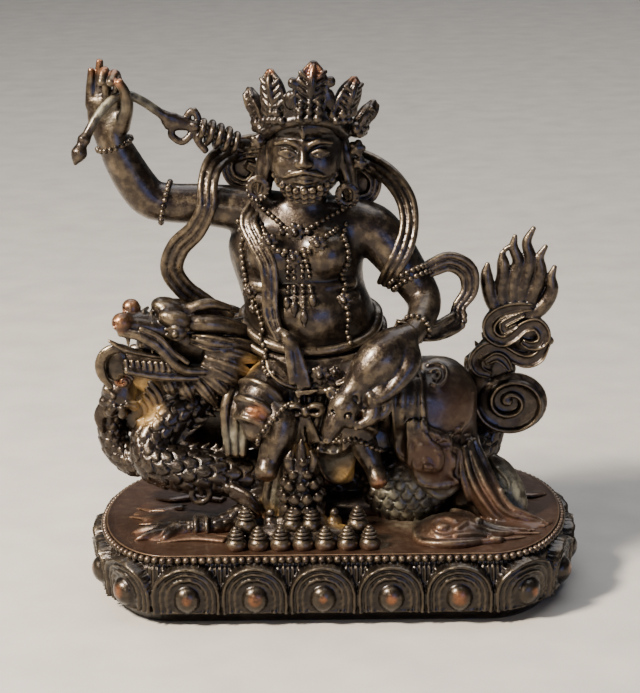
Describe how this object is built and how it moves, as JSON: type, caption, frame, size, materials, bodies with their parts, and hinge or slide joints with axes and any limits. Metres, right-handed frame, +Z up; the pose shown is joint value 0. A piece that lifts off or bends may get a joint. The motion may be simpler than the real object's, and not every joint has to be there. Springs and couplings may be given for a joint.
{
  "type": "jambhala statue",
  "caption": "Cast bronze altar statue: a crowned deity with a raised staff and a mongoose rides a coiled dragon on an oval lotus plinth, with jars of offerings in front",
  "frame": {"origin": "centre of the plinth's underside, on the surface that the statue stands on", "axes": "+Z up, the figure faces -Y, the raised arm and the dragon's head are at -X, the tail is at +X"},
  "size_m": [0.1, 0.063, 0.1072],
  "materials": {
    "bronze": "cast bronze with a dark brown patina, rubbed to copper on high points"
  },
  "bodies": {
    "root": {"statue": "bronze"}
  },
  "joints": []
}
